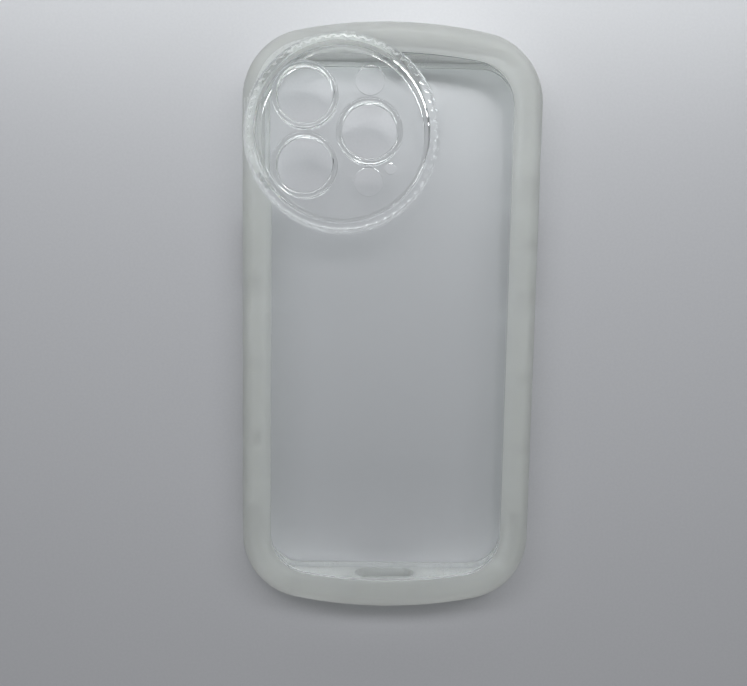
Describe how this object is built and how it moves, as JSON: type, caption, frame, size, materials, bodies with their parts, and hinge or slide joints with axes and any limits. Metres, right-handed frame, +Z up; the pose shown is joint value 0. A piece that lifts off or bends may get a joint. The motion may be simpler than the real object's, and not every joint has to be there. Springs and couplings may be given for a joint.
{
  "type": "phone case",
  "caption": "Clear-backed phone case with a frosted bumper frame, a raised round camera guard with lens collars, and side button pads.",
  "frame": {"origin": "on the resting plane, under the middle of the case, which lies on its front rim", "axes": "+X across the width towards the volume buttons, +Y along the length towards the camera end, +Z up out of the clear back"},
  "size_m": [0.0826, 0.165, 0.0155],
  "materials": {
    "frosted_frame": "milky translucent soft polyurethane with a fine matt texture",
    "frosted_pad": "milky translucent soft polyurethane with a fine matt texture",
    "clear_panel": "clear polished plastic sheet",
    "clear_guard": "clear polished plastic moulding"
  },
  "bodies": {
    "shell": {"bumper_frame": "frosted_frame", "back_panel": "clear_panel", "camera_ring": "clear_guard", "lens_plate": "clear_guard", "lens_collar_upper": "clear_guard", "lens_collar_lower": "clear_guard", "lens_collar_side": "clear_guard"},
    "power_pad": {"power_button": "frosted_pad"},
    "volume_up_pad": {"volume_up_button": "frosted_pad"},
    "volume_down_pad": {"volume_down_button": "frosted_pad"}
  },
  "joints": [
    {"name": "power_press", "type": "slide", "parent": "shell", "child": "power_pad", "axis": [1, 0, 0], "range_m": [0, 0.0005], "stiffness_N_per_m": 2000},
    {"name": "volume_up_press", "type": "slide", "parent": "shell", "child": "volume_up_pad", "axis": [-1, 0, 0], "range_m": [0, 0.0005], "stiffness_N_per_m": 2000},
    {"name": "volume_down_press", "type": "slide", "parent": "shell", "child": "volume_down_pad", "axis": [-1, 0, 0], "range_m": [0, 0.0005], "stiffness_N_per_m": 2000}
  ]
}
